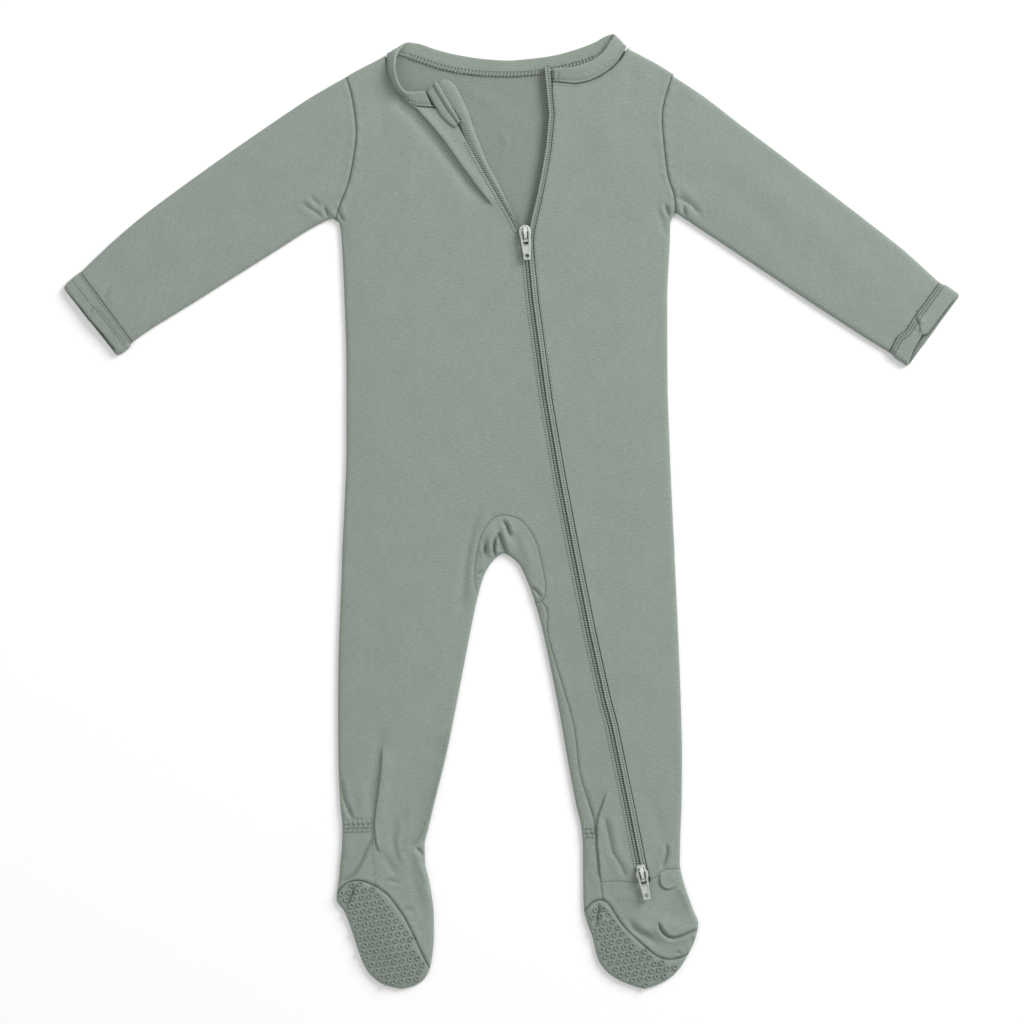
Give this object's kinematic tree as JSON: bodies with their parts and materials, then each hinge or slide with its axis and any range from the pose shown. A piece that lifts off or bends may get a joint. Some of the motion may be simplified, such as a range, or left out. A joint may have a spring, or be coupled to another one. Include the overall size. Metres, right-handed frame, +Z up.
{
  "type": "footed baby sleepsuit",
  "caption": "Footed one-piece baby sleepsuit in plain sage jersey, laid flat on its back, with a two-way zip running aslant from the neck to one ankle and open at the neck.",
  "frame": {"origin": "middle of the garment's box in X and Y, on the surface it lies on", "axes": "+X to the viewer's right across the garment, +Y towards the neck, +Z up off the surface"},
  "size_m": [0.5838, 0.6214, 0.0116],
  "materials": {
    "jersey": "soft matt fine-rib jersey, sage",
    "jersey_inside": "soft matt jersey, sage",
    "zip_tape": "woven tape",
    "zip_coil": "moulded coil",
    "painted_zinc": "satin enamel"
  },
  "bodies": {
    "garment": {"back": "jersey_inside", "front_left": "jersey", "front_right": "jersey", "crotch_gusset": "jersey", "vamp_right": "jersey", "sole_left": "jersey", "sole_right": "jersey", "sleeve_left": "jersey", "sleeve_right": "jersey", "cuff_left": "jersey", "cuff_right": "jersey", "neckband": "jersey", "zip_tape_left": "zip_tape", "zip_coil_left": "zip_coil", "zip_tape_right": "zip_tape", "zip_coil_right": "zip_coil", "zip_guard": "jersey", "zip_garage": "jersey", "slider_upper": "painted_zinc", "slider_lower": "painted_zinc"},
    "pull_upper_body": {"pull_upper": "painted_zinc"},
    "pull_lower_body": {"pull_lower": "painted_zinc"}
  },
  "joints": [
    {"name": "upper_pull_hinge", "type": "hinge", "parent": "garment", "child": "pull_upper_body", "pos_m": [0.009, 0.1821, 0.00888], "axis": [-0.9964, -0.0849, 0], "range_deg": [0, 165]},
    {"name": "lower_pull_hinge", "type": "hinge", "parent": "garment", "child": "pull_lower_body", "pos_m": [0.0846, -0.233, 0.0086], "axis": [-0.9801, -0.1987, 0], "range_deg": [0, 165]}
  ]
}
